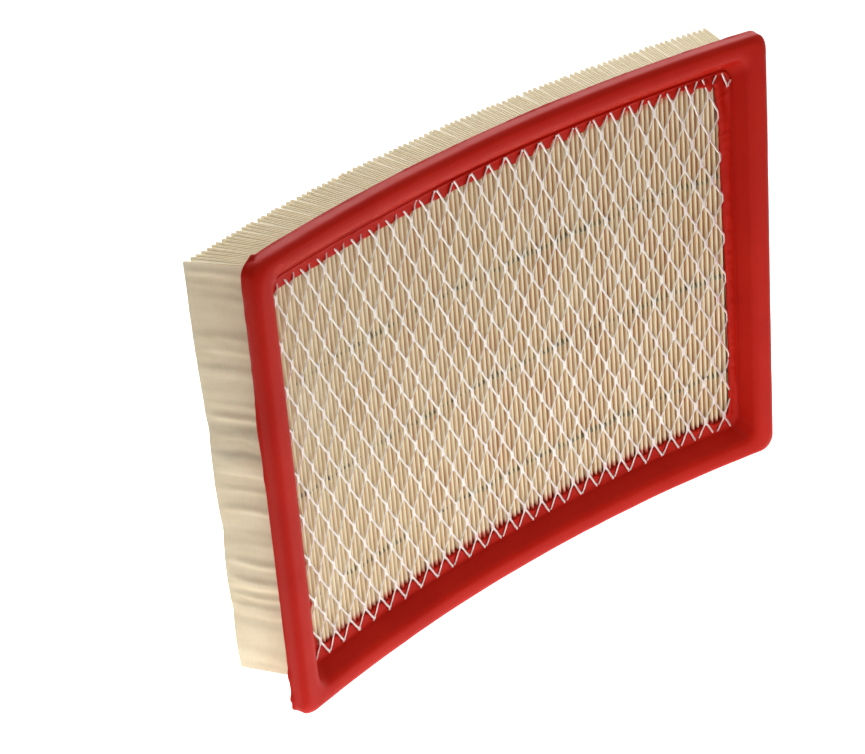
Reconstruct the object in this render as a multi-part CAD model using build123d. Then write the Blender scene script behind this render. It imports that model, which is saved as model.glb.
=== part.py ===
from build123d import *

import math
import os

# Arched panel air filter. Millimetres, +Z up.
# The panel is upright with its long sides level. X runs along the length, +Y runs from the screened
# face towards the pleat tips, and the arch bends the middle of the panel towards +Y, so the screened
# face is hollow. Every "h" below is a height above the back plane of the flange, measured towards the
# screened face (so a negative h lies on the pleat side), along the arch's radius. Heights along Z are
# counted from the lower long side while the solids are made; the origin is set at the end.

os.makedirs("parts", exist_ok=True)

# ------------------------------------------------------------------ driving dimensions
LENGTH = 240.0          # straight-line length of the moulded frame, on the flange's back plane
WIDTH = 173.8           # height of the frame as it stands
ARCH = 12.5             # rise of the arch over that length

FLANGE_T = 6.4          # flange thickness, back plane to crest
LIP_R = 2.6             # rounding of the crest's outer edge
CORNER_R = 4.6          # outer corners of the flange
CREST_LONG = 4.4        # crest width on the long bars, up to the start of the shoulder
CREST_END = 6.9         # crest width on the end bars
SHOULDER_LONG = 8.4     # inset and height where the rounded shoulder turns into the wall
SHOULDER_END = 9.4
SHOULDER_H = 4.9
WALL_FOOT = 12.25       # inset of the wall's foot, all four bars
LEDGE_H = -0.7          # ledge on which the screen lies
GROOVE_W = 0.8          # groove at the wall's foot
GROOVE_D = 0.35
LEDGE_LONG = 17.0       # inset of the ledge's inner edge, long bars
LEDGE_END = 17.4        # the same, end bars
OPEN_R = 5.0            # corners of the opening
SKIRT = 4.0             # depth of the moulded collar behind the flange
SKIRT_IN = 5.0          # inset of the collar's outer wall

TIP_FRONT = -1.6        # front fold line of the pleats
TIP_REAR = -26.9        # rear fold line of the pleats
PACK_IN = 7.27          # inset of the pleats' cut edges from the frame's long sides
PACK_END = 5.1          # inset of the rear corners of the pleats from the frame's ends
PLEATS = 101            # number of pleats
PAPER_T = 0.38          # paper thickness
FOLD_W = 0.55           # flat width of a fold, on the sheet's mid plane
SPLAY_L = 6.0           # how much further in the front end of the leftmost flank sits
SPLAY_R = -2.04         # the same for the rightmost flank
SPLAY_FADE = 0.18       # share of the length over which the left end's splay dies away

BEAD_Z = (35.9, 77.5, 119.2)   # heights of the hot-melt bead rows
BEAD_W = 1.3            # bead width along Z
BEAD_DEPTH = 4.2        # how far a bead reaches into the pleats
BEAD_FILM = 0.22        # bead film over the folds
SEAL_W = 2.5            # width of the glue that closes the pleat ends
GLUE_GAP = 0.02         # clearance kept between glue and paper

SCREEN_T = 0.7          # expanded metal thickness
SCREEN_IN = 13.2        # inset of the screen's cut edge
SWD = 8.2               # short way of the diamond, along the length
LWD = 16.85             # long way of the diamond, upright
BOND_W = 1.4            # width and length of the bond between two diamonds
BOND_L = 2.4

# ------------------------------------------------------------------ arch geometry
R = (LENGTH ** 2 / 4 + ARCH ** 2) / (2 * ARCH)
HALF = math.asin(LENGTH / 2 / R)
YC = ARCH - R


def pt(angle, h):
    """Point at an angle round the arch and a height above the flange's back plane."""
    return ((R - h) * math.sin(angle), YC + (R - h) * math.cos(angle))


def sector(inset_left, inset_right, h_front, h_back, z0, z1):
    """Curved slab between two heights, with radial ends."""
    a0, a1 = -HALF + inset_left / R, HALF - inset_right / R
    am = (a0 + a1) / 2
    with BuildSketch(Plane.XY) as sk:
        with BuildLine():
            ThreePointArc(pt(a0, h_front), pt(am, h_front), pt(a1, h_front))
            Line(pt(a1, h_front), pt(a1, h_back))
            ThreePointArc(pt(a1, h_back), pt(am, h_back), pt(a0, h_back))
            Line(pt(a0, h_back), pt(a0, h_front))
        make_face()
    return extrude(sk.sketch, amount=z1 - z0).moved(Location((0, 0, z0)))


def end_shape(steps, h_top):
    """Pocket seen along Z: steps are (inset, h) from the crest down to the floor, both ends alike."""
    (i0, h0), (i9, h9) = steps[0], steps[-1]
    left = [pt(-HALF + i / R, h) for i, h in steps]
    right = [pt(HALF - i / R, h) for i, h in steps]
    with BuildSketch(Plane.XY) as sk:
        with BuildLine():
            Polyline(*([pt(-HALF + i0 / R, h_top)] + left))
            ThreePointArc(left[-1], pt(0, h9), right[-1])
            Polyline(*(right[::-1] + [pt(HALF - i0 / R, h_top)]))
            ThreePointArc(pt(HALF - i0 / R, h_top), pt(0, h_top), pt(-HALF + i0 / R, h_top))
        make_face()
    return extrude(sk.sketch, amount=WIDTH + 20).moved(Location((0, 0, -10)))


def long_shape(steps, h_top):
    """The same pocket seen along the arch: steps run up one long bar and down the other."""
    i0 = steps[0][0]
    low = [(R - h, i) for i, h in steps]
    high = [(R - h, WIDTH - i) for i, h in steps]
    outline = [(R - h_top, i0)] + low + high[::-1] + [(R - h_top, WIDTH - i0)]
    face = make_face(Polyline(*[(x, 0, z) for x, z in outline], close=True))
    span = math.degrees(HALF) * 2 + 4
    turned = revolve(face, axis=Axis.Z, revolution_arc=span)
    # put the middle of the turned shape on +Y, then move the axis to the arch's centre
    turned = turned.rotate(Axis.Z, 90 - span / 2)
    lo = turned.bounding_box()
    if lo.max.Y < 0:
        turned = turned.rotate(Axis.Z, 180)
    return turned.moved(Location((0, YC, 0)))


# ------------------------------------------------------------------ pleated sheet
def fold_lines():
    """Front and rear fold positions, as angles round the arch."""
    span = R * HALF * 2 - 2 * PACK_END

    def rear(t):
        return -HALF + (PACK_END + span * t) / R

    def front(t):
        fade = math.exp(-t / SPLAY_FADE)
        slip = SPLAY_R + (SPLAY_L - SPLAY_R) * fade
        return rear(t) + slip / R

    rears = [rear(i / (PLEATS - 1)) for i in range(PLEATS)]
    fronts = [front((i + 0.5) / (PLEATS + 1)) for i in range(PLEATS + 1)]
    return fronts, rears


def centre_line():
    """Mid line of the folded sheet as points, front fold, rear fold, front fold, and so on."""
    fronts, rears = fold_lines()
    pts = []
    for i in range(PLEATS + 1):
        a = fronts[i]
        r = R - TIP_FRONT
        d = FOLD_W / 2 / r
        if i == 0:
            pts.append(pt(a + d, TIP_FRONT))
        elif i == PLEATS:
            pts.append(pt(a - d, TIP_FRONT))
        else:
            pts += [pt(a - d, TIP_FRONT), pt(a + d, TIP_FRONT)]
        if i < PLEATS:
            a = rears[i]
            r = R - TIP_REAR
            d = FOLD_W / 2 / r
            pts += [pt(a - d, TIP_REAR), pt(a + d, TIP_REAR)]
    return pts


def offset_line(pts, dist):
    """Mitred offset of an open line, to the left of its direction when dist is positive."""
    out = []
    n = len(pts)
    dirs = []
    for i in range(n - 1):
        dx, dy = pts[i + 1][0] - pts[i][0], pts[i + 1][1] - pts[i][1]
        k = math.hypot(dx, dy)
        dirs.append((dx / k, dy / k))
    for i in range(n):
        if i == 0:
            nx, ny = -dirs[0][1], dirs[0][0]
            out.append((pts[0][0] + nx * dist, pts[0][1] + ny * dist))
        elif i == n - 1:
            nx, ny = -dirs[-1][1], dirs[-1][0]
            out.append((pts[-1][0] + nx * dist, pts[-1][1] + ny * dist))
        else:
            n1 = (-dirs[i - 1][1], dirs[i - 1][0])
            n2 = (-dirs[i][1], dirs[i][0])
            bx, by = n1[0] + n2[0], n1[1] + n2[1]
            k = math.hypot(bx, by)
            bx, by = bx / k, by / k
            m = dist / (bx * n1[0] + by * n1[1])
            out.append((pts[i][0] + bx * m, pts[i][1] + by * m))
    return out


def prism(outline, z0, z1):
    """Solid between two heights from a closed outline of points."""
    wire = Wire.make_polygon([Vector(x, y, z0) for x, y in outline], close=True)
    return Solid.extrude(Face(wire), Vector(0, 0, z1 - z0))


def height(p):
    """Height above the flange's back plane of a point."""
    return R - math.hypot(p[0], p[1] - YC)


MID = centre_line()
# The sheet runs left to right, so its left-hand side is the +Y side at a front fold.
REAR_SIDE = offset_line(MID, PAPER_T / 2)
FRONT_SIDE = offset_line(MID, -PAPER_T / 2)


def cut_between(a, b, h):
    """Point of segment a-b at height h."""
    ha, hb = height(a), height(b)
    t = (h - ha) / (hb - ha)
    return (a[0] + (b[0] - a[0]) * t, a[1] + (b[1] - a[1]) * t)


def front_comb(depth, film):
    """Outline of glue laid over the front folds and into the valleys between them."""
    side = offset_line(MID, -(PAPER_T / 2 + GLUE_GAP))
    floor_h = TIP_FRONT - PAPER_T / 2 - depth
    low = []
    n = len(side)
    i = 0
    while i < n - 1:
        a, b = side[i], side[i + 1]
        ha, hb = height(a), height(b)
        if i == 0:
            low.append(a)
        if ha > floor_h and hb > floor_h:
            low.append(b)
        elif ha > floor_h >= hb:
            low.append(cut_between(a, b, floor_h))
        elif ha <= floor_h < hb:
            low.append(cut_between(a, b, floor_h))
            low.append(b)
        i += 1
    top_h = TIP_FRONT + PAPER_T / 2 + film
    top = []
    for p in low:
        if height(p) > TIP_FRONT:
            a = math.atan2(p[0], p[1] - YC)
            top.append(pt(a, top_h))
    return low + top[::-1]


def rear_comb(depth, film):
    """The same over the rear folds."""
    side = offset_line(MID, PAPER_T / 2 + GLUE_GAP)[1:-1]
    floor_h = TIP_REAR + PAPER_T / 2 + depth
    low = []
    n = len(side)
    for i in range(n - 1):
        a, b = side[i], side[i + 1]
        ha, hb = height(a), height(b)
        if i == 0:
            low.append(a)
        if ha < floor_h and hb < floor_h:
            low.append(b)
        elif ha < floor_h <= hb:
            low.append(cut_between(a, b, floor_h))
        elif ha >= floor_h > hb:
            low.append(cut_between(a, b, floor_h))
            low.append(b)
    top_h = TIP_REAR - PAPER_T / 2 - film
    top = []
    for p in low:
        if height(p) < TIP_REAR:
            a = math.atan2(p[0], p[1] - YC)
            top.append(pt(a, top_h))
    return low + top[::-1]


# ------------------------------------------------------------------ moulded frame
POCKET_LONG = [(CREST_LONG, FLANGE_T), (SHOULDER_LONG, SHOULDER_H), (WALL_FOOT, LEDGE_H)]
POCKET_END = [(CREST_END, FLANGE_T), (SHOULDER_END, SHOULDER_H), (WALL_FOOT, LEDGE_H)]


def make_frame():
    block = sector(0, 0, FLANGE_T, 0, 0, WIDTH)
    corners = block.edges().filter_by(lambda e: e.length < FLANGE_T * 1.2 and e.length > FLANGE_T * 0.8)
    block = fillet(corners, CORNER_R)
    front = block.edges().filter_by(
        lambda e: abs(height((e.center().X, e.center().Y)) - FLANGE_T) < 0.3
    )
    block = fillet(front, LIP_R)
    collar = sector(SKIRT_IN, SKIRT_IN, 1.0, -SKIRT, SKIRT_IN, WIDTH - SKIRT_IN)
    block = block + collar
    pocket = long_shape(POCKET_LONG, FLANGE_T + 4) & end_shape(POCKET_END, FLANGE_T + 4)
    block = block - pocket
    ring = sector(WALL_FOOT - 0.3, WALL_FOOT - 0.3, LEDGE_H + 0.3, LEDGE_H - GROOVE_D,
                  WALL_FOOT - 0.3, WIDTH - WALL_FOOT + 0.3)
    inner = WALL_FOOT - 0.3 + GROOVE_W
    ring = ring - sector(inner, inner, LEDGE_H + 1, LEDGE_H - GROOVE_D - 1, inner, WIDTH - inner)
    block = block - ring
    opening = sector(LEDGE_END, LEDGE_END, LEDGE_H + 2, -SKIRT - 2, LEDGE_LONG, WIDTH - LEDGE_LONG)
    radial = opening.edges().filter_by(lambda e: abs(e.length - (SKIRT + LEDGE_H + 4)) < 0.5)
    opening = fillet(radial, OPEN_R)
    block = block - opening
    # pocket for the pleats, open to the back
    first, last = FRONT_SIDE, REAR_SIDE
    f0, r0 = MID[0], MID[1]
    f9, r9 = MID[-1], MID[-2]

    def grow(a, b, side, extra):
        """End flank's outer face, moved out by the paper's half thickness and run past both ends."""
        dx, dy = b[0] - a[0], b[1] - a[1]
        k = math.hypot(dx, dy)
        dx, dy = dx / k, dy / k
        nx, ny = -dy * side, dx * side
        o = PAPER_T / 2
        return ((a[0] + nx * o - dx * extra, a[1] + ny * o - dy * extra),
                (b[0] + nx * o + dx * extra, b[1] + ny * o + dy * extra))

    la, lb = grow(f0, r0, 1, 6)
    ra, rb = grow(f9, r9, -1, 6)
    env = prism([la, lb, rb, ra], PACK_IN, WIDTH - PACK_IN)
    roof = sector(-10, -10, TIP_FRONT + PAPER_T / 2 + BEAD_FILM, -40, 0, WIDTH)
    block = block - (env & roof)
    return block


def make_screen():
    half = R * HALF - SCREEN_IN
    z0, z1 = SCREEN_IN, WIDTH - SCREEN_IN
    zc = (z0 + z1) / 2
    xr, zt = SWD / 2 - BOND_W / 2, LWD / 2 - BOND_L / 2
    shape = [(0, zt), (xr, BOND_L / 2), (xr, -BOND_L / 2), (0, -zt), (-xr, -BOND_L / 2), (-xr, BOND_L / 2)]
    nx, nz = int(half / SWD) + 2, int((z1 - z0) / 2 / LWD) + 2

    def wire(points):
        return Wire.make_polygon([Vector(R * math.sin(s / R), 0, z) for s, z in points], close=True)

    holes = []
    for par in (0, 1):
        for i in range(-nx, nx + 1):
            for j in range(-nz, nz + 1):
                cx, cz = (i + 0.5 * par) * SWD, zc + (j + 0.5 * par) * LWD
                if abs(cx) > half + SWD or cz < z0 - LWD or cz > z1 + LWD:
                    continue
                holes.append(wire([(cx + x, cz + z) for x, z in shape]))
    m = 3 * LWD
    outer = wire([(-half - m, z0 - m), (half + m, z0 - m), (half + m, z1 + m), (-half - m, z1 + m)])
    lattice = Solid.extrude(Face(outer, holes), Vector(0, 60, 0)).moved(Location((0, -25, 0)))
    shell = sector(SCREEN_IN, SCREEN_IN, LEDGE_H + SCREEN_T, LEDGE_H, z0, z1)
    return shell & lattice


def biggest(shape):
    """The one connected sheet, without the loose specks a cut leaves at its corners."""
    return max(shape.solids(), key=lambda solid: solid.volume)


zl, zh = PACK_IN, WIDTH - PACK_IN
full = TIP_FRONT - TIP_REAR - PAPER_T - 0.15
seal = front_comb(full, BEAD_FILM - 0.04)
nodes = {
    "seal_frame": make_frame(),
    "pleated_media": prism(FRONT_SIDE + REAR_SIDE[::-1], zl, zh),
    "mesh_screen": biggest(make_screen()),
    "edge_seal_lower": prism(seal, zl, zl + SEAL_W),
    "edge_seal_upper": prism(seal, zh - SEAL_W, zh),
}
front_bead = front_comb(BEAD_DEPTH, BEAD_FILM - 0.04)
rear_bead = rear_comb(BEAD_DEPTH, BEAD_FILM)
for level, z in zip(("lower", "middle", "upper"), BEAD_Z):
    nodes[f"spacer_bead_front_{level}"] = prism(front_bead, z - BEAD_W / 2, z + BEAD_W / 2)
    nodes[f"spacer_bead_rear_{level}"] = prism(rear_bead, z - BEAD_W / 2, z + BEAD_W / 2)

# the origin goes to the middle of the sealing flange, on its arched back face
shift = (0.0, -ARCH, -WIDTH / 2)
boxes = [shape.bounding_box() for shape in nodes.values()]
low = [min(getattr(b.min, k) for b in boxes) for k in "XYZ"]
high = [max(getattr(b.max, k) for b in boxes) for k in "XYZ"]
print("from", [round(v + d, 3) for v, d in zip(low, shift)], "to", [round(v + d, 3) for v, d in zip(high, shift)])

for name, shape in nodes.items():
    solids = [s.moved(Location(shift)) for s in shape.solids()]
    out = solids[0] if len(solids) == 1 else Compound(children=solids)
    out.label = name
    export_step(out, f"parts/{name}.step")
    print(name, len(solids), "solids", round(sum(s.volume for s in solids), 1), "mm3")
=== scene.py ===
import bpy
import bmesh
import math
import numpy as np
from mathutils import Matrix, Vector


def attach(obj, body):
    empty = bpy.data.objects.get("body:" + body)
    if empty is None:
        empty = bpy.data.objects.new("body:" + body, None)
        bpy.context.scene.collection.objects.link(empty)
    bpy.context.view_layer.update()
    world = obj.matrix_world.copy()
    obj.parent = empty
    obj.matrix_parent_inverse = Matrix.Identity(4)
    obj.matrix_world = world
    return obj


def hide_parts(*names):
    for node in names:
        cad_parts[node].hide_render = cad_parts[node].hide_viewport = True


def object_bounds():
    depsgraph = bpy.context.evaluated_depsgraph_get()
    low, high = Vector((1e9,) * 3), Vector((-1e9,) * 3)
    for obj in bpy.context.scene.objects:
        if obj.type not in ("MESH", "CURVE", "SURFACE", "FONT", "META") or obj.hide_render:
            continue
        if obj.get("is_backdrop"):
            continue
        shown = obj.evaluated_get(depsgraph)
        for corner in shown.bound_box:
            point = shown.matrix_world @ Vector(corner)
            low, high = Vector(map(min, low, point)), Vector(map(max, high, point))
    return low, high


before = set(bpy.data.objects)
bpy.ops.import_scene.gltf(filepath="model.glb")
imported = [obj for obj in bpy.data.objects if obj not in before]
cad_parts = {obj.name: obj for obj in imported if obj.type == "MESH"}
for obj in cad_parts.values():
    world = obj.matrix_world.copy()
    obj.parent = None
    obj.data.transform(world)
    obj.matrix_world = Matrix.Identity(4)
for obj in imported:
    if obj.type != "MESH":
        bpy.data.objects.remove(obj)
cad_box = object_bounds()

# ---------------------------------------------------------------- sizes, in millimetres as in the CAD
LENGTH, WIDTH, ARCH = 240.0, 173.8, 12.5
R = (LENGTH ** 2 / 4 + ARCH ** 2) / (2 * ARCH)
HALF = math.asin(LENGTH / 2 / R)
HL = R * HALF              # half of the arched length
HW = WIDTH / 2
TIP_F, TIP_R = -1.6, -26.9
PACK_IN, PACK_END, PLEATS = 7.27, 5.1, 101
PAPER = 0.38
SPAN = 2 * HL - 2 * PACK_END
RNG = np.random.default_rng(11)


def P(s, h, z):
    """Place along the arch, height towards the screened side, height from the lower side -> metres."""
    s, h, z = np.broadcast_arrays(np.asarray(s, float), np.asarray(h, float), np.asarray(z, float))
    r = R - h
    return np.stack([r * np.sin(s / R), r * np.cos(s / R) - R, z - HW], -1) * 1e-3


# ---------------------------------------------------------------- repeatable noise
def _h(i, j, k):
    n = np.sin(i * 127.1 + j * 311.7 + k * 74.7) * 43758.5453
    return n - np.floor(n)


def noise1(x, k=0):
    x = np.asarray(x, float)
    i = np.floor(x)
    f = x - i
    f = f * f * (3 - 2 * f)
    return (_h(i, 0, k) * (1 - f) + _h(i + 1, 0, k) * f) * 2 - 1


def noise2(x, y, k=0):
    x, y = np.broadcast_arrays(np.asarray(x, float), np.asarray(y, float))
    i, j = np.floor(x), np.floor(y)
    f, g = x - i, y - j
    f, g = f * f * (3 - 2 * f), g * g * (3 - 2 * g)
    a = _h(i, j, k) * (1 - f) + _h(i + 1, j, k) * f
    b = _h(i, j + 1, k) * (1 - f) + _h(i + 1, j + 1, k) * f
    return (a * (1 - g) + b * g) * 2 - 1


# ---------------------------------------------------------------- mesh making
def make_object(name, verts, faces, smooth=True, sharp_deg=None):
    """One object from vertices and a list of face arrays (each array has rows of 3 or 4 indices)."""
    me = bpy.data.meshes.new(name)
    verts = np.asarray(verts, float).reshape(-1, 3)
    loops = np.concatenate([np.asarray(f, np.int32).reshape(-1) for f in faces])
    sizes = np.concatenate([np.full(len(f), np.asarray(f).shape[1], np.int32) for f in faces])
    me.vertices.add(len(verts))
    me.vertices.foreach_set("co", verts.astype(np.float32).ravel())
    me.loops.add(len(loops))
    me.loops.foreach_set("vertex_index", loops)
    me.polygons.add(len(sizes))
    start = np.concatenate([[0], np.cumsum(sizes)[:-1]]).astype(np.int32)
    me.polygons.foreach_set("loop_start", start)
    me.polygons.foreach_set("use_smooth", np.full(len(sizes), smooth))
    me.update(calc_edges=True)
    me.validate()
    bm = bmesh.new()
    bm.from_mesh(me)
    bmesh.ops.recalc_face_normals(bm, faces=bm.faces)
    if sharp_deg is not None:
        lim = math.radians(sharp_deg)
        for e in bm.edges:
            if len(e.link_faces) == 2 and e.calc_face_angle(0.0) > lim:
                e.smooth = False
    bm.to_mesh(me)
    bm.free()
    ob = bpy.data.objects.new(name, me)
    bpy.context.scene.collection.objects.link(ob)
    return ob


def quads(nu, nv, close_u=False, close_v=False, base=0):
    """Quads of a grid whose vertex (i, j) has index i * nv + j."""
    iu = np.arange(nu if close_u else nu - 1)
    jv = np.arange(nv if close_v else nv - 1)
    i, j = np.meshgrid(iu, jv, indexing="ij")
    i2, j2 = (i + 1) % nu, (j + 1) % nv
    return np.stack([i * nv + j, i2 * nv + j, i2 * nv + j2, i * nv + j2], -1).reshape(-1, 4) + base


def piece(ob, slot, *nodes):
    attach(ob, "root")
    if nodes:
        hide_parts(*nodes)
    return ob


# ---------------------------------------------------------------- materials
def lin(r, g, b):
    def f(c):
        c /= 255.0
        return c / 12.92 if c <= 0.04045 else ((c + 0.055) / 1.055) ** 2.4
    return (f(r), f(g), f(b), 1.0)


class Mat:
    def __init__(self, name):
        self.m = bpy.data.materials.new(name)
        self.m.use_nodes = True
        self.t = self.m.node_tree
        self.t.nodes.clear()
        self.out = self.add("ShaderNodeOutputMaterial")
        self.b = self.add("ShaderNodeBsdfPrincipled")
        self.link(self.b.outputs[0], self.out.inputs[0])
        self.co = self.add("ShaderNodeTexCoord").outputs["Object"]

    def add(self, kind, **kw):
        n = self.t.nodes.new(kind)
        for k, v in kw.items():
            setattr(n, k, v)
        return n

    def link(self, a, b):
        self.t.links.new(a, b)

    def mapped(self, scale, rot=(0, 0, 0), loc=(0, 0, 0)):
        n = self.add("ShaderNodeMapping")
        n.inputs["Scale"].default_value = scale
        n.inputs["Rotation"].default_value = rot
        n.inputs["Location"].default_value = loc
        self.link(self.co, n.inputs["Vector"])
        return n.outputs[0]

    def noise(self, vec, scale, detail=4.0, rough=0.55, distort=0.0):
        n = self.add("ShaderNodeTexNoise")
        n.inputs["Scale"].default_value = scale
        n.inputs["Detail"].default_value = detail
        n.inputs["Roughness"].default_value = rough
        n.inputs["Distortion"].default_value = distort
        self.link(vec, n.inputs["Vector"])
        return n.outputs["Fac"]

    def ramp(self, fac, stops, interp="LINEAR"):
        n = self.add("ShaderNodeValToRGB")
        n.color_ramp.interpolation = interp
        el = n.color_ramp.elements
        while len(el) > 1:
            el.remove(el[-1])
        el[0].position, el[0].color = stops[0]
        for p, c in stops[1:]:
            e = el.new(p)
            e.color = c
        self.link(fac, n.inputs["Fac"])
        return n.outputs["Color"]

    def mix(self, fac, a, b, blend="MIX"):
        n = self.add("ShaderNodeMix", data_type="RGBA", blend_type=blend)
        for socket, v in (("Factor", fac), ("A", a), ("B", b)):
            s = [i for i in n.inputs if i.name == socket and i.type in (("VALUE",) if socket == "Factor" else ("RGBA",))][0]
            if isinstance(v, (int, float)) or isinstance(v, tuple):
                s.default_value = v
            else:
                self.link(v, s)
        return [o for o in n.outputs if o.type == "RGBA"][0]

    def math(self, op, a, b=None, c=None, clamp=False):
        n = self.add("ShaderNodeMath", operation=op, use_clamp=clamp)
        for i, v in enumerate((a, b, c)):
            if v is None:
                continue
            if isinstance(v, (int, float)):
                n.inputs[i].default_value = v
            else:
                self.link(v, n.inputs[i])
        return n.outputs[0]

    def range(self, v, a, b, c, d):
        n = self.add("ShaderNodeMapRange")
        n.inputs["From Min"].default_value = a
        n.inputs["From Max"].default_value = b
        n.inputs["To Min"].default_value = c
        n.inputs["To Max"].default_value = d
        self.link(v, n.inputs["Value"])
        return n.outputs[0]

    def bump(self, height, strength, distance, normal=None):
        n = self.add("ShaderNodeBump")
        n.inputs["Strength"].default_value = strength
        n.inputs["Distance"].default_value = distance
        self.link(height, n.inputs["Height"])
        if normal is not None:
            self.link(normal, n.inputs["Normal"])
        return n.outputs[0]

    def set(self, **kw):
        for k, v in kw.items():
            s = self.b.inputs[k.replace("_", " ")]
            if hasattr(v, "is_output"):
                self.link(v, s)
            else:
                s.default_value = v

    def on(self, ob):
        ob.data.materials.clear()
        ob.data.materials.append(self.m)
        return ob


def mat_rubber():
    m = Mat("moulded_red_polyurethane")
    base = m.mapped((1, 1, 1))
    big = m.noise(base, 38.0, 3.0, 0.5)
    fine = m.noise(base, 900.0, 3.0, 0.6)
    specks = m.noise(base, 420.0, 2.0, 0.6, 0.4)
    body = m.ramp(big, [(0.25, (0.435, 0.0080, 0.0022, 1)), (0.5, (0.475, 0.0100, 0.0028, 1)), (0.78, (0.515, 0.0135, 0.0040, 1))])
    body = m.mix(m.range(fine, 0.35, 0.75, 0.0, 0.25), body, (0.42, 0.007, 0.0025, 1))
    body = m.mix(m.range(specks, 0.70, 0.80, 0.0, 0.30), body, (0.31, 0.005, 0.0020, 1))
    m.set(Base_Color=body)
    m.set(Roughness=m.range(m.noise(base, 120.0, 4.0, 0.6), 0.3, 0.7, 0.36, 0.46))
    m.b.inputs["IOR"].default_value = 1.48
    m.b.inputs["Specular IOR Level"].default_value = 0.09
    soft = m.bump(m.noise(base, 160.0, 3.0, 0.5), 0.20, 0.0003)
    m.set(Normal=m.bump(fine, 0.15, 0.00008, soft))
    return m


def mat_paper(name, panel=False):
    m = Mat(name)
    base = m.mapped((1, 1, 1))
    # long fibres lie across the sheet's travel, with small dots of resin
    fibre = m.noise(m.mapped((1, 1, 0.22)), 1500.0, 4.0, 0.65, 0.6)
    cloud = m.noise(base, 60.0, 4.0, 0.55)
    if panel:
        tones = [(0.25, lin(232, 217, 184)), (0.55, lin(238, 224, 193)), (0.8, lin(243, 231, 203))]
    else:
        tones = [(0.25, lin(243, 229, 194)), (0.55, lin(248, 235, 203)), (0.8, lin(251, 240, 212))]
    body = m.ramp(cloud, tones)
    body = m.mix(m.range(fibre, 0.42, 0.74, 0.0, 0.30), body, lin(226, 204, 160))
    sep = m.add("ShaderNodeSeparateXYZ")
    m.link(m.co, sep.inputs[0])
    x, y, z = sep.outputs["X"], sep.outputs["Y"], sep.outputs["Z"]
    # height towards the screened side, in metres
    yy = m.math("ADD", y, R * 1e-3)
    rad = m.math("SQRT", m.math("ADD", m.math("MULTIPLY", x, x), m.math("MULTIPLY", yy, yy)))
    h = m.math("SUBTRACT", R * 1e-3, rad)
    if panel:
        # the end panel is handled most: soft grey smears lie across it
        wob = m.math("MULTIPLY", m.noise(m.mapped((1, 1, 0.4)), 45.0, 3.0, 0.5), 0.012)
        zz = m.math("ADD", z, wob)
        for centre, half, amount, col in ((0.0235, 0.0046, 0.36, lin(150, 142, 128)), (0.0150, 0.0030, 0.22, lin(150, 146, 138)),
                                          (0.0765, 0.0045, 0.22, lin(170, 156, 126)), (-0.0460, 0.0040, 0.14, lin(184, 166, 130)),
                                          (0.0520, 0.0040, 0.12, lin(178, 160, 126))):
            d = m.math("ABSOLUTE", m.math("SUBTRACT", zz, centre))
            body = m.mix(m.range(d, 0.0, half, amount, 0.0), body, col)
        smear = m.noise(m.mapped((0.4, 0.4, 1.3)), 110.0, 5.0, 0.65, 0.5)
        body = m.mix(m.range(smear, 0.50, 0.80, 0.0, 0.28), body, lin(176, 158, 122))
    else:
        # painted shade: the paper is coloured darker and more orange the deeper it lies in the folds
        fold_painted_shade = m.range(m.math("ADD", h, m.math("MULTIPLY", cloud, 0.0012)), -0.0010, -0.0040, 0.0, 0.90)
        az = m.math("ABSOLUTE", z)
        here = m.math("MULTIPLY", m.range(h, -0.016, -0.009, 0.0, 1.0), m.range(az, 0.0775, 0.0735, 0.0, 1.0))
        # the outer face of the last fold gets none of this painted shade
        outer = m.math("ADD", x, m.math("MULTIPLY", h, 0.333))
        here = m.math("MULTIPLY", here, m.range(outer, 0.1103, 0.1111, 1.0, 0.0))
        body = m.mix(m.math("MULTIPLY", fold_painted_shade, here), body, lin(214, 142, 64))
        # patchy painted shade in a deeper orange, also only down in the folds
        fold_shade_patch = m.noise(m.mapped((1, 1, 0.28)), 170.0, 3.0, 0.55, 0.3)
        body = m.mix(m.math("MULTIPLY", m.range(fold_shade_patch, 0.46, 0.68, 0.0, 0.85), m.math("MULTIPLY", m.range(h, -0.0016, -0.0046, 0.0, 1.0), here)), body, lin(206, 112, 38))
        # a thin film of the casting has run over the ends of the folds
        film = m.noise(base, 420.0, 3.0, 0.6)
        zf = m.math("ADD", m.math("ABSOLUTE", z), m.math("MULTIPLY", film, 0.0022))
        near_front = m.range(h, -0.0060, -0.0035, 0.0, 1.0)
        stain = m.math("MULTIPLY", m.range(zf, 0.0702, 0.0718, 0.0, 0.55), near_front)
        body = m.mix(stain, body, lin(226, 92, 66))
        low = m.math("ADD", m.math("MULTIPLY", z, -1.0), m.math("MULTIPLY", m.noise(base, 330.0, 3.0, 0.6), 0.0030))
        wick = m.math("MULTIPLY", m.range(low, 0.0693, 0.0716, 0.0, 0.85), m.range(h, -0.0080, -0.0030, 0.0, 1.0))
        body = m.mix(wick, body, lin(214, 62, 44))
    m.set(Base_Color=body)
    m.set(Roughness=m.range(cloud, 0.2, 0.8, 0.78, 0.92))
    m.b.inputs["Specular IOR Level"].default_value = 0.25
    soft = m.bump(m.noise(base, 420.0, 4.0, 0.6), 0.35, 0.00012)
    m.set(Normal=m.bump(fibre, 0.35, 0.00006, soft))
    return m


def mat_screen():
    m = Mat("expanded_metal_screen")
    base = m.mapped((1, 1, 1))
    wear = m.noise(base, 260.0, 4.0, 0.6)
    fine = m.noise(m.mapped((1, 1, 0.3)), 2600.0, 3.0, 0.6)
    body = m.ramp(wear, [(0.3, (0.86, 0.85, 0.82, 1)), (0.55, (0.94, 0.92, 0.88, 1)), (0.8, (0.97, 0.945, 0.90, 1))])
    body = m.mix(m.range(fine, 0.5, 0.8, 0.0, 0.3), body, (0.72, 0.72, 0.71, 1))
    m.set(Base_Color=body)
    m.b.inputs["Metallic"].default_value = 0.60
    m.set(Roughness=m.range(wear, 0.3, 0.7, 0.30, 0.44))
    m.set(Normal=m.bump(fine, 0.25, 0.00004))
    return m


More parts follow.
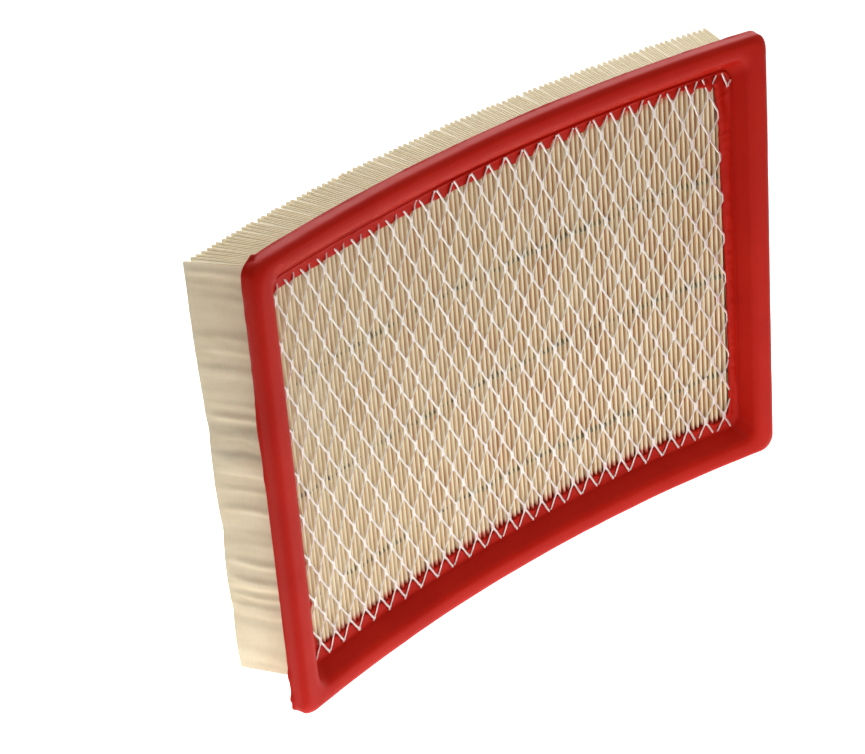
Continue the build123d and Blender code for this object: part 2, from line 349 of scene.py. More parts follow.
def mat_glue(name, light, dark, rough):
    m = Mat(name)
    base = m.mapped((1, 1, 1))
    cloud = m.noise(base, 300.0, 4.0, 0.6)
    body = m.ramp(cloud, [(0.3, dark), (0.7, light)])
    m.set(Base_Color=body)
    m.set(Roughness=m.range(cloud, 0.3, 0.7, rough, rough + 0.15))
    m.set(Normal=m.bump(m.noise(base, 900.0, 3.0, 0.6), 0.3, 0.0001))
    return m


def mat_floor():
    m = Mat("glowing_pale_table")
    base = m.mapped((1, 1, 1))
    body = m.ramp(m.noise(base, 3.0, 3.0, 0.5), [(0.3, (0.93, 0.93, 0.93, 1)), (0.7, (0.95, 0.95, 0.95, 1))])
    m.set(Base_Color=body)
    m.b.inputs["Roughness"].default_value = 0.85
    m.b.inputs["Specular IOR Level"].default_value = 0.2
    # painted light: the floor glows, a pool of light brightest just beside the object and fading out within about 0.3
    # m, which lights the object from below
    m.b.inputs["Emission Color"].default_value = (1, 1, 1, 1)
    sep = m.add("ShaderNodeSeparateXYZ")
    m.link(m.co, sep.inputs[0])
    x, y = sep.outputs["X"], sep.outputs["Y"]
    x, y = m.math("ADD", x, 0.05), m.math("ADD", y, 0.05)
    r2 = m.math("ADD", m.math("MULTIPLY", x, x), m.math("MULTIPLY", y, y))
    painted_light_pool = m.math("EXPONENT", m.math("MULTIPLY", r2, -1 / 0.28 ** 2))
    m.link(m.math("MULTIPLY_ADD", painted_light_pool, 1.40, 0.18), m.b.inputs["Emission Strength"])
    return m


# ---------------------------------------------------------------- pleats: where every fold lies
def rear_s(i):
    return -HL + PACK_END + SPAN * np.asarray(i, float) / (PLEATS - 1)


def front_s(i):
    t = (np.asarray(i, float) + 0.5) / (PLEATS + 1)
    return -HL + PACK_END + SPAN * t - 2.04 + 8.04 * np.exp(-t / 0.18)


# some neighbouring rear folds lean together, others stand apart
LEAN = 0.30 * noise1(np.arange(PLEATS) * 1.37, 3) + 0.34 * noise1(np.arange(PLEATS) * 0.61, 4)
for at, push in ((36, -0.55), (37, 0.35), (65, -0.75), (66, 0.60), (67, 0.35), (64, -0.4), (90, -0.45), (91, 0.35), (13, -0.4), (14, 0.3)):
    LEAN[at] += push
LEAN[0] = LEAN[-1] = 0.0
STEP = 0.26 * noise1(np.arange(PLEATS) * 1.9, 5) + 0.12 * noise1(np.arange(PLEATS) * 0.4, 6)


def outline_wave(z):
    """The free edge of the end panel isn't straight: it bows out above and waves below."""
    z = np.asarray(z, float)
    bow = -1.15 / (1 + np.exp(-(z - 118.0) / 7.0))
    waves = 0.75 * np.exp(-((z - 64.5) / 5.0) ** 2) + 0.45 * np.exp(-((z - 103.0) / 4.0) ** 2) - 0.40 * np.exp(-((z - 45.0) / 8.0) ** 2) \
        + 0.5 * np.exp(-((z - 31.0) / 3.5) ** 2) + 0.45 * np.exp(-((z - 8.0) / 4.0) ** 2) - 0.3 * np.exp(-((z - 86.0) / 9.0) ** 2)
    return bow + waves + 0.10 * noise1(z / 3.1, 21)


def fold_place(k, z):
    """Fold number k along the sheet (even: front, odd: rear) at heights z: place along the arch, height."""
    k = np.asarray(k)[None, :]
    z = np.asarray(z, float)[:, None]
    i = k // 2
    front = (k % 2) == 0
    s = np.where(front, front_s(i), rear_s(np.clip(i, 0, PLEATS - 1)))
    h = np.where(front, TIP_F, TIP_R)
    lean = LEAN[np.clip(i, 0, PLEATS - 1)]
    step = STEP[np.clip(i, 0, PLEATS - 1)]
    s = s + np.where(front, 0.10 * noise2(i * 0.83, z / 31.0, 7) + 0.05 * noise2(i * 3.1, z / 9.0, 8),
                     lean * (0.75 + 0.25 * noise2(i * 0.5, z / 60.0, 9)) + 0.12 * noise2(i * 2.3, z / 24.0, 10))
    h = h + np.where(front, 0.07 * noise2(i * 1.7, z / 26.0, 11) - 0.05, step + 0.10 * noise2(i * 2.9, z / 22.0, 12))
    s = s + np.where(k == 1, outline_wave(z), 0.0)
    return s, h


RHO = 0.30                        # radius of a fold, on the sheet's middle
ARC = np.radians([-80.0, -42.0, 0.0, 42.0, 80.0])


def fold_points(k, z, arc=ARC):
    """Points of the folds k at heights z: arrays (z, fold, point) of place and height."""
    s, h = fold_place(k, z)
    sign = np.where(np.asarray(k) % 2 == 0, 1.0, -1.0)[None, :, None]
    ds = RHO * np.sin(arc)[None, None, :]
    dh = sign * RHO * (np.cos(arc)[None, None, :] - 1)
    return s[..., None] + ds, h[..., None] + dh


def to_xy(s, h):
    r = R - h
    return np.stack([r * np.sin(s / R), r * np.cos(s / R) - R], -1)


def thicken(xy, half):
    """Two lines on either side of the lines xy (z, n, 2)."""
    t = np.empty_like(xy)
    t[:, 1:-1] = xy[:, 2:] - xy[:, :-2]
    t[:, 0] = xy[:, 1] - xy[:, 0]
    t[:, -1] = xy[:, -1] - xy[:, -2]
    t /= np.linalg.norm(t, axis=-1, keepdims=True)
    n = np.stack([-t[..., 1], t[..., 0]], -1)
    return xy + n * half, xy - n * half        # rear side, front side


def slab(name, xy, z, half, sharp=None):
    """Closed sheet of even thickness from middle lines xy (z, n, 2)."""
    rear, front = thicken(xy, half)
    nz, n = xy.shape[:2]
    ring = np.concatenate([front, rear[:, ::-1]], 1)
    zz = np.repeat((z - HW)[:, None, None], 2 * n, 1)
    verts = np.concatenate([ring, zz], -1) * 1e-3
    faces = [quads(nz, 2 * n, close_v=True)]
    j = np.arange(n - 1)
    cap = np.stack([j, j + 1, 2 * n - 2 - j, 2 * n - 1 - j], -1)
    faces += [cap, cap + (nz - 1) * 2 * n]
    return make_object(name, verts, faces, sharp_deg=sharp)


ZA, ZB = PACK_IN, WIDTH - PACK_IN


def make_media():
    z = np.linspace(ZA, ZB, 37)
    k = np.arange(1, 2 * PLEATS + 1)                      # first rear fold .. last front fold
    s, h = fold_points(k, z)
    ns, nh = [], []
    for a in range(len(k)):
        first = 2 if a == 0 else 0                         # the end panel brings the first half of its fold
        ns.append(s[:, a, first:])
        nh.append(h[:, a, first:])
        if a < len(k) - 1:
            bend = 0.10 * noise2(np.full_like(z, a * 1.3), z / 18.0, 14)[:, None]
            ns.append((s[:, a, -1:] + s[:, a + 1, :1]) / 2 + bend)
            nh.append((h[:, a, -1:] + h[:, a + 1, :1]) / 2)
    xy = to_xy(np.concatenate(ns, 1), np.concatenate(nh, 1))
    return slab("pleated_paper", xy, z, PAPER / 2, 60)


def ripple(z, d):
    """Ridges that run across the end panel from its free fold to the moulding; d goes from 0 to 1 along them."""
    zz = z + 1.4 * noise1(z / 17.0, 31) - 0.9 * d + 0.8 * noise2(d * 2.0, z / 25.0, 38)
    ridge = noise1(zz / 2.5, 32)
    base = 0.88 * ridge + 0.30 * np.abs(ridge) + 0.62 * noise1(zz / 6.3, 33)
    fade = 0.62 + 0.50 * noise2(z / 13.0, d * 1.8, 34)
    small = 0.07 * noise2(z / 1.6, d * 7.0, 35) + 0.16 * noise2(z / 4.0, d * 3.0, 36)
    belly = 0.55 * np.sin(math.pi * d) * noise1(z / 38.0, 37)
    edge = np.minimum(1.0, (1 - d) * 5 + 0.25)
    return (base * fade + small) * edge + belly


def make_end_panel():
    z = np.linspace(ZA, ZB, 190)
    n = 26
    s0, h0 = fold_place([0], z)
    s1, h1 = fold_points([1], z, ARC[:3])
    d = np.linspace(0, 1, n)[None, :]
    s = s0 + (s1[:, 0, :1] - s0) * d
    h = h0 + (h1[:, 0, :1] - h0) * d
    push = ripple(z[:, None], d) * np.sin(math.pi * np.clip(d * 1.02, 0, 1)) ** 0.35
    room = 0.05 + 0.62 * (1 - d)
    push = push + 0.42 * np.sin(math.pi * d)
    push = np.where(push < 0, room * np.tanh(push / room), push)
    s = s - push * 0.9
    s = np.concatenate([s, s1[:, 0, 1:]], 1)
    h = np.concatenate([h, h1[:, 0, 1:]], 1)
    return slab("end_panel_paper", to_xy(s, h), z, PAPER / 2, 60)


# ---------------------------------------------------------------- hot-melt glue
def lump(centre, half, nu=10, nv=6, seed=0.0):
    """Small rounded lump in (place, height, z) around a centre."""
    u = np.linspace(0, 2 * math.pi, nu, endpoint=False)
    v = np.linspace(-math.pi / 2, math.pi / 2, nv + 1)
    U, V = np.meshgrid(u, v, indexing="xy")
    wob = 1 + 0.16 * noise2(U * 1.3 + seed, V * 2.0 + seed, 41)
    x = centre[0] + half[0] * np.cos(V) * np.cos(U) * wob
    y = centre[1] + half[1] * np.cos(V) * np.sin(U) * wob
    w = centre[2] + half[2] * np.sin(V)
    return P(x, y, w).reshape(-1, 3), quads(nv + 1, nu, close_v=True)


def weld_poles(name, parts):
    verts, faces, base = [], [], 0
    for v, f in parts:
        verts.append(v)
        faces.append(f + base)
        base += len(v)
    ob = make_object(name, np.concatenate(verts), [np.concatenate(faces)])
    bm = bmesh.new()
    bm.from_mesh(ob.data)
    bmesh.ops.remove_doubles(bm, verts=bm.verts, dist=1e-7)
    bmesh.ops.recalc_face_normals(bm, faces=bm.faces)
    bm.to_mesh(ob.data)
    bm.free()
    return ob


def make_front_bead(name, z0, seed):
    parts = []
    s, h = fold_place(np.arange(0, 2 * PLEATS + 1), np.array([z0]))
    tips = s[0, ::2]
    for i in range(len(tips) - 1):
        mid = (tips[i] + tips[i + 1]) / 2
        gap = tips[i + 1] - tips[i]
        r = _h(i, seed, 51)
        zc = z0 + 0.6 * noise1(i * 0.35, 52 + seed) + 0.5 * (r - 0.5)
        full = np.clip(0.55 + 0.6 * noise1(i * 0.21, 55 + seed) + 0.3 * (_h(i, seed, 56) - 0.5), 0.15, 1.0)
        depth = -4.0 + 0.9 * full - 0.5 * _h(i, seed, 53)
        parts.append(lump((mid, depth, zc), (gap * 0.5 - 0.08, 1.5 + 0.5 * r, 0.7 + 0.75 * full * (0.6 + 0.4 * _h(i, seed, 54))), seed=i))
    return weld_poles(name, parts)


def make_rear_bead(name, z0, seed):
    """Lumps between the rear folds, joined by the thread that was laid over them."""
    s, h = fold_place(np.arange(0, 2 * PLEATS + 1), np.array([z0]))
    tips, top, fronts = s[0, 1::2], h[0, 1::2], s[0, 2::2]
    parts = []
    line = []
    for i in range(len(tips)):
        line.append((tips[i], top[i] - 0.30))
        if i < len(tips) - 1:
            mid = (tips[i] + tips[i + 1]) / 2
            low = (top[i] + top[i + 1]) / 2
            gap = (tips[i + 1] - tips[i]) * (R - low) / R
            line.append((mid, low + 0.55))
            centre = mid + 0.087 * (fronts[i] - mid)    # half way between the two flanks at this depth
            parts.append(lump((centre, low + 2.2, z0 + 0.2 * noise1(i * 0.5, 62 + seed)), (gap * 0.46 - 0.12, 1.7, 0.55 + 0.2 * _h(i, seed, 63)), seed=i + 7))
    line = np.array(line)
    x = np.arange(len(line))
    xf = np.linspace(0, len(line) - 1, (len(line) - 1) * 3 + 1)
    ease = xf - np.floor(xf)
    i0 = np.minimum(np.floor(xf).astype(int), len(line) - 2)
    e = (xf - i0)
    e2 = e * e * (3 - 2 * e)
    ss = line[i0, 0] * (1 - e) + line[i0 + 1, 0] * e
    hh = line[i0, 1] * (1 - e2) + line[i0 + 1, 1] * e2
    zz = z0 + 0.35 * noise1(ss / 9.0, 64 + seed)
    rad = 0.42 + 0.10 * noise1(ss / 3.0, 65 + seed)
    a = np.linspace(0, 2 * math.pi, 8, endpoint=False)
    rr = rad[:, None]
    V = P(ss[:, None] + 0 * a, hh[:, None] + rr * 0.55 * np.cos(a), zz[:, None] + rr * np.sin(a))
    n = len(ss)
    f = quads(n, 8, close_v=True)
    parts.append((V.reshape(-1, 3), f))
    ob = weld_poles(name, parts)
    bm = bmesh.new()
    bm.from_mesh(ob.data)
    bmesh.ops.holes_fill(bm, edges=[e for e in bm.edges if e.is_boundary], sides=8)
    bmesh.ops.recalc_face_normals(bm, faces=bm.faces)
    bm.to_mesh(ob.data)
    bm.free()
    return ob


def make_edge_seal(name, outer_z, inward):
    """Glue at one cut edge: it closes the end of every fold, a little below the paper's own edge."""
    zs = np.array([outer_z + inward * 0.16, outer_z + inward * 2.6])
    verts, faces, base = [], [], 0
    kk = np.arange(0, 2 * PLEATS + 1)
    s, h = fold_points(kk, zs)
    off = PAPER / 2 - 0.03
    for k in range(1, 2 * PLEATS):
        opens_front = k % 2 == 1

        def flank(a, b, side):
            """From the open end (fold a) down to fold b, on the inner face of the flank."""
            sa = s[:, a, 3:] if side < 0 else s[:, a, 1::-1]
            ha = h[:, a, 3:] if side < 0 else h[:, a, 1::-1]
            sb = s[:, b, :2] if side < 0 else s[:, b, :2:-1]
            hb = h[:, b, :2] if side < 0 else h[:, b, :2:-1]
            if not opens_front:
                cut = 0.045 + 0.03 * _h(k, side, 72)
                sa = (sa[:, 1:] + (sb[:, :1] - sa[:, 1:]) * cut)
                ha = (ha[:, 1:] + (hb[:, :1] - ha[:, 1:]) * cut)
            return np.concatenate([sa, sb], 1) - side * off, np.concatenate([ha, hb], 1)
        ls, lh = flank(k - 1, k, -1)
        rs, rh = flank(k + 1, k, 1)
        m = ls.shape[1]
        dent = 0.10 + 0.16 * _h(k, 3, 71)
        row = []
        for w in (0.0, 0.5, 1.0):
            zz = np.repeat(zs[:, None], m, 1).copy()
            if w == 0.5:
                zz[0] += inward * dent
            row.append(P(ls * (1 - w) + rs * w, lh * (1 - w) + rh * w, zz))
        V = np.stack(row, 2)                              # (2, m, 3, 3)
        verts += [V[0].reshape(-1, 3), V[1].reshape(-1, 3)]
        g = quads(m, 3, base=base)
        g2 = quads(m, 3, base=base + 3 * m)
        rim = np.array([j * 3 for j in range(m)] + [(m - 1) * 3 + 1, (m - 1) * 3 + 2] + [j * 3 + 2 for j in range(m - 2, -1, -1)] + [1])
        nxt = np.roll(rim, -1)
        side_faces = np.stack([rim, nxt, nxt + 3 * m, rim + 3 * m], -1) + base
        faces += [g, g2, side_faces]
        base += 6 * m
    return make_object(name, np.concatenate(verts), [np.concatenate(faces)], sharp_deg=40)


# ---------------------------------------------------------------- moulded frame
N_LONG, N_SIDE, N_CORNER = 336, 250, 12


def loop_line(aB, aT, aL, aR, rc):
    """Rounded rectangle at insets aB (lower), aT (upper), aL (left), aR (right): place, z, outward direction."""
    x0, x1, z0, z1 = -HL + aL, HL - aR, aB, WIDTH - aT
    q = np.linspace(0, math.pi / 2, N_CORNER + 1)[:-1]
    tl = np.linspace(0, 1, N_LONG + 1)[:-1]
    ts = np.linspace(0, 1, N_SIDE + 1)[:-1]
    S, Z, NX, NZ = [], [], [], []

    def put(s, z, nx, nz):
        S.append(s)
        Z.append(z)
        NX.append(nx)
        NZ.append(nz)
    put(x0 + rc + (x1 - x0 - 2 * rc) * tl, z0 + 0 * tl, 0 * tl, -1 + 0 * tl)
    a = -math.pi / 2 + q
    put(x1 - rc + rc * np.cos(a), z0 + rc + rc * np.sin(a), np.cos(a), np.sin(a))
    put(x1 + 0 * ts, z0 + rc + (z1 - z0 - 2 * rc) * ts, 1 + 0 * ts, 0 * ts)
    a = q
    put(x1 - rc + rc * np.cos(a), z1 - rc + rc * np.sin(a), np.cos(a), np.sin(a))
    put(x1 - rc - (x1 - x0 - 2 * rc) * tl, z1 + 0 * tl, 0 * tl, 1 + 0 * tl)
    a = math.pi / 2 + q
    put(x0 + rc + rc * np.cos(a), z1 - rc + rc * np.sin(a), np.cos(a), np.sin(a))
    put(x0 + 0 * ts, z1 - rc - (z1 - z0 - 2 * rc) * ts, -1 + 0 * ts, 0 * ts)
    a = math.pi + q
    put(x0 + rc + rc * np.cos(a), z0 + rc + rc * np.sin(a), np.cos(a), np.sin(a))
    return [np.concatenate(v) for v in (S, Z, NX, NZ)]


def smooth(x, a, b):
    t = np.clip((np.asarray(x, float) - a) / (b - a), 0, 1)
    return t * t * (3 - 2 * t)


EDGE_B, EDGE_T, EDGE_L, EDGE_R = 16.0, 15.0, 15.3, 17.0


def ledge_edges(s, z):
    """How far in the ledge reaches on each side; the casting fills the notches between the strands."""
    top = [bond(i, 7) for i in range(-29, 28, 2)]
    ts, ta = np.array([b[0] for b in top]), np.array([WIDTH - b[1] for b in top])
    k = np.clip(np.searchsorted(ts, s) - 1, 0, len(ts) - 2)
    f = np.clip((s - ts[k]) / (ts[k + 1] - ts[k]), 0, 1)
    near = np.where(f < 0.5, k, k + 1)
    tri = np.minimum(f, 1 - f) * 2                      # 0 at a bond, 1 half way between two
    fill = _h(near, 1, 201)
    apex = 14.4 + 0.9 * _h(k, 2, 202) + 2.2 * smooth(-s, -28, 22)
    level = 16.3 + 1.2 * fill + 0.9 * smooth(-s, 5, 60)
    legs = ta[near] - 1.7 - (ta[near] - 12.4) * tri * 1.02
    e_top = np.clip(legs, apex, level) + 0.12 * noise1(s / 0.9, 203)
    low = [bond(i, -9) for i in range(-29, 28, 2)]
    ls = np.array([b[0] for b in low])
    k = np.clip(np.searchsorted(ls, s) - 1, 0, len(ls) - 2)
    f = np.clip((s - ls[k]) / (ls[k + 1] - ls[k]), 0, 1)
    e_low = 16.85 + 0.40 * np.cos(2 * math.pi * f) + 0.75 * noise1(s / 4.3, 204) + 0.30 * noise1(s / 1.5, 205)
    left = [bond(-27, j) for j in range(-11, 12, 2)]
    lz, la = np.array([b[1] for b in left]), np.array([b[0] + HL for b in left])
    k = np.argmin(np.abs(z[:, None] - lz[None]), 1)
    d = np.abs(z - lz[k])
    e_left = np.maximum(15.2 + 0.15 * noise1(z / 3.0, 206), la[k] - 0.55 - 0.52 * d - 1.0 * smooth(z, 84, 108))
    e_right = 16.55 + 1.45 * smooth(z, 45, 140) + 0.3 * smooth(-z, -40, -15) + 0.22 * noise1(z / 4.1, 207) + 0.12 * noise1(z / 1.5, 208)
    return e_low, e_top, e_left, e_right


def make_frame():
    S0, Z0, NX, NZ = loop_line(0, 0, 0, 0, 4.6)
    nu = len(S0)
    along = np.concatenate([[0], np.cumsum(np.hypot(np.diff(S0), np.diff(Z0)))])
    wB, wT = np.clip(-NZ, 0, 1) ** 2, np.clip(NZ, 0, 1) ** 2
    wL, wR = np.clip(-NX, 0, 1) ** 2, np.clip(NX, 0, 1) ** 2
    long_bar = wB + wT

    def spot(s, z, size, reach):
        return size * np.exp(-((S0 - s) ** 2 + (Z0 - z) ** 2) / reach ** 2)
    # thin flash left at the parting line, with burrs near the left corners
    flash = 0.08 + 0.14 * np.clip(noise1(along / 7.0, 81), 0, 1) + 0.16 * np.clip(noise1(along / 2.3, 82) - 0.35, 0, 1)
    flash = flash + spot(-HL + 6.3, WIDTH, 1.0, 1.4) + spot(-HL, 16.5, 0.55, 2.2) + spot(-HL, 7.0, 0.8, 1.6) + spot(-HL, 3.0, 0.6, 1.3)
    flash = flash + wL * (0.48 * np.exp(-((Z0 - 113.5) / 8.5) ** 2) + 0.35 * np.exp(-((Z0 - 96.0) / 3.0) ** 2) - 0.42 * smooth(Z0, 116, 134) * smooth(-Z0, -169, -160))
    flash_h = 0.22 + spot(-HL + 6.3, WIDTH, 0.7, 1.5) + 0.20 * wL * smooth(Z0, 116, 134)
    wave = 0.10 * noise1(along / 23.0, 83) + 0.05 * noise1(along / 6.0, 84)
    idx = np.interp(S0, front_s(np.arange(PLEATS + 1)), np.arange(PLEATS + 1))
    valley = 0.5 - 0.5 * np.cos(2 * math.pi * idx)
    # edge of the ledge
    sE, zE = loop_line(EDGE_B, EDGE_T, EDGE_L, EDGE_R, 4.5)[:2]
    eB, eT, eL, eR = ledge_edges(sE, zE)
    reach = wB * (eB - EDGE_B) + wT * (eT - EDGE_T) + wL * (eL - EDGE_L) + wR * (eR - EDGE_R)
    reach = reach + long_bar ** 4 * (0.35 * valley ** 1.5 - 0.1) * (1 - 0.7 * wT)
    corner_tr = np.exp(-((S0 - HL) ** 2 + (Z0 - WIDTH) ** 2) / 15.0 ** 2)
    corner_br = np.exp(-((S0 - HL) ** 2 + Z0 ** 2) / 9.0 ** 2)
    reach = reach + 2.0 * corner_tr + 0.6 * corner_br
    drop = long_bar ** 4 * valley * (wB + 0.35 * wT)
    # the casting stands higher over the paper on the right, and as a soft rim round the upper right corner
    swell = 0.78 * wR * (1 - np.exp(-((Z0 - WIDTH) / 19.0) ** 4)) * (1 - np.exp(-(Z0 / 17.0) ** 4))
    rim = 0.95 * np.exp(-((S0 - HL) ** 2 + (Z0 - WIDTH) ** 2) / 21.0 ** 2) + 0.3 * np.exp(-((S0 - HL) ** 2 + Z0 ** 2) / 15.0 ** 2)
    # on the upper left the casting lies thicker over the screen's edge
    upper_left = wT * smooth(-S0, 10, 55)
    round_tl = 1.05 * np.exp(-((S0 + HL) ** 2 + (Z0 - WIDTH) ** 2) / 6.6 ** 2)
    prof = []                                               # (lower, upper, left, right, height, corner radius, kind)

    def pt(aB, aE, h, rc, kind="", aT=None, aR=None):
        prof.append((aB, aB if aT is None else aT, aE, aE if aR is None else aR, h, rc, kind))
    pt(0.75, 0.75, 0.0, 3.9)
    pt(0.0, 0.0, -0.03, 4.6, "flash")
    pt(0.0, 0.0, 0.20, 4.6, "flash_front")
    pt(0.0, 0.0, 0.55, 4.6, "behind")
    pt(0.0, 0.0, 1.5, 4.6)
    pt(0.0, 0.0, 2.7, 4.6)
    for f in (0, 12, 25, 38, 51, 64, 77, 90):
        c, s = math.cos(math.radians(f)), math.sin(math.radians(f))
        pt(2.6 - 2.6 * c, 2.6 - 2.6 * c, 3.8 + 2.6 * s, 4.6 + 2.4 * s)
    pt(3.3, 3.8, 6.45, 6.8)
    pt(3.9, 5.3, 6.46, 6.5)
    pt(4.5, 6.7, 6.43, 6.2, aT=4.3)
    for t in (0.2, 0.38, 0.54, 0.68, 0.82, 1.0):
        w0, w1, w2 = (1 - t) ** 2, 2 * t * (1 - t), t * t
        pt(w0 * 4.5 + w1 * 7.5 + w2 * 9.0, w0 * 6.7 + w1 * 8.7 + w2 * 9.7, w0 * 6.43 + w1 * 6.43 + w2 * 3.9, 6.2 - 0.9 * t,
           aT=w0 * 4.3 + w1 * 6.9 + w2 * 8.3)
    pt(10.1, 10.5, 2.3, 5.0, aT=9.5)
    pt(11.1, 11.35, 0.8, 4.8, aT=10.6)
    pt(11.55, 11.8, -0.05, 4.6, aT=11.2)
    pt(11.80, 12.0, -0.45, 4.5, "groove", aT=11.52)
    pt(12.0, 12.15, -0.76, 4.4, "groove", aT=11.75)
    pt(12.2, 12.35, -0.86, 4.3, "groove", aT=11.95)
    pt(12.4, 12.55, -0.76, 4.2, "groove", aT=12.15)
    pt(12.56, 12.72, -0.54, 4.1, "rib", aT=12.30)
    pt(12.72, 12.88, -0.34, 4.0, "rib", aT=12.46)
    pt(12.92, 13.06, -0.28, 4.0, "rib", aT=12.68)
    pt(13.16, 13.30, -0.42, 4.0, kind="swell0", aT=12.92)
    pt(13.7, 14.0, -0.70, 4.2, "swell1", aT=13.2)
    pt(14.3, 14.7, -0.70, 4.3, "swell2", aT=13.6, aR=15.0)
    pt(14.9, 14.9, -0.70, 4.4, "edge0", aT=14.0, aR=15.7)
    pt(15.5, 15.05, -0.68, 4.5, "edge1", aT=14.5, aR=16.35)
    pt(15.85, 15.2, -0.78, 4.5, "edge2", aT=14.85, aR=16.8)
    pt(EDGE_B, EDGE_L, -1.05, 4.5, "edge3", aT=EDGE_T, aR=EDGE_R)
    pt(15.8, 15.1, -1.36, 4.5, "edge4", aT=14.8, aR=16.7)
    pt(13.6, 13.9, -1.36, 4.6)
    pt(7.3, 12.1, -1.30, 1.5, aR=8.5)
    pt(7.3, 11.45, -3.85, 1.5, aR=8.25)
    pt(7.1, 11.2, -4.05, 1.6, aR=8.0)
    pt(5.3, 5.3, -4.05, 2.6)
    pt(5.0, 5.0, -3.75, 2.8)
    pt(5.0, 5.0, -0.35, 2.8)
    pt(4.75, 4.75, -0.03, 2.9)
    pt(3.0, 3.0, 0.0, 3.2)

    cols = []
    for aB, aT, aL, aR, h, rc, kind in prof:
        s, z, nx, nz = loop_line(aB, aT, aL, aR, rc)
        hh = np.full(nu, h)
        out = np.zeros(nu)
        if kind == "flash":
            out = out + flash
        elif kind == "flash_front":
            out = out + flash * 0.92
            hh = flash_h.copy()
        elif kind == "behind":
            out = out + 0.35 * np.minimum(flash, 0)
            hh = hh + 0.20 * wL * smooth(Z0, 116, 134)
        elif kind == "groove":
            hh = hh + upper_left * (0.30 + 0.22 * smooth(-S0, 45, 75)) + 0.03 * noise2(s / 3.0, z / 3.0, 91)
        elif kind == "rib":
            hh = hh - 0.30 * wB - 0.12 * upper_left
        elif kind.startswith("swell"):
            n = int(kind[5])
            hh = hh + swell * (0.25, 0.8, 1.0)[n] + (0.03, 0.07, 0.09)[n] * noise2(s / 1.7, z / 1.7, 87) + rim * (0.0, -0.25, -0.55)[n]
            hh = hh + upper_left * (0.05, 0.22, 0.26)[n] * (1 + 0.8 * noise2(s / 1.9, z / 1.4, 92))
            hh = hh + wR * (0.04, 0.20, 0.26)[n] * (noise2(s / 2.4, z / 1.5, 89) + 0.5 * noise2(s / 1.2, z / 0.9, 90))
        elif kind.startswith("edge"):
            n = int(kind[4])
            out = out - reach * (0.45, 0.8, 0.98, 1.0, 1.0)[n]
            hh = hh - drop * (0.0, 0.10, 0.30, 0.8, 1.0)[n] + swell * (1.0, 1.0, 0.75, 0.25, 0.0)[n] + rim * (0.55, 1.15, 0.95, 0.35, 0.0)[n] \
                + (0.09, 0.06, 0.0, 0.0, 0.0)[n] * noise2(s / 1.7, z / 1.7, 88) \
                + wR * (0.22, 0.16, 0.05, 0.0, 0.0)[n] * (noise2(s / 2.4, z / 1.5, 89) + 0.5 * noise2(s / 1.2, z / 0.9, 90))
        elif h > -0.55:
            out = out + wave * 0.8
            hh = hh + 0.5 * wave
        if aB <= 4.0 and h > -0.1:
            out = out - round_tl
        cols.append(P(s + nx * out, hh, z + nz * out))
    V = np.stack(cols, 1)                                   # (nu, points, 3)
    return make_object("moulded_frame", V, [quads(nu, len(prof), close_u=True, close_v=True)])


# ---------------------------------------------------------------- expanded-metal screen
STRAND_W, STRAND_T = 0.89, 0.42
# the sheet was stretched a little unevenly: place of bond (i, j) as a polynomial in i / 25 and j / 9
LAT_S = (6.394, -1.15, 0.287, 0.2, -0.161, 100.375, -0.619, 0.619, 0.746, -5.325, 0.3, 0.948, 2.505, 0.465, 4.86, 0.016)
LAT_Z = (94.678, 73.99, -1.382, 1.708, 2.024, 0.278, -0.582, 0.142, 0.627, 3.24, 0.965, 0.346, -0.783, 0.752, -3.102, -0.087)
LAT_POW = [(p, q) for p in range(5) for q in range(5 - p)]
SCREEN_H = -0.35
CUT_LEFT, CUT_RIGHT, CUT_LOW, CUT_TOP = HL - 13.6, HL - 12.2, 12.85, WIDTH - 12.9


def bond(i, j):
    def f(x, y):
        m = [x ** p * y ** q for p, q in LAT_POW] + [1.0 if j % 2 == 0 else -1.0]
        return sum(a * b for a, b in zip(LAT_S, m)), sum(a * b for a, b in zip(LAT_Z, m))
    x, y = i / 25.0, j / 9.0
    xc, yc = max(-1.08, min(0.96, x)), max(-1.12, min(1.0, y))
    s, z = f(xc, yc)
    s, z = s + (x - xc) * 25.0 * 4.12, z + (y - yc) * 9.0 * 8.36
    return s - 1.75 * float(smooth(z, 98, 150)) * float(smooth(s, 86, 102)), z


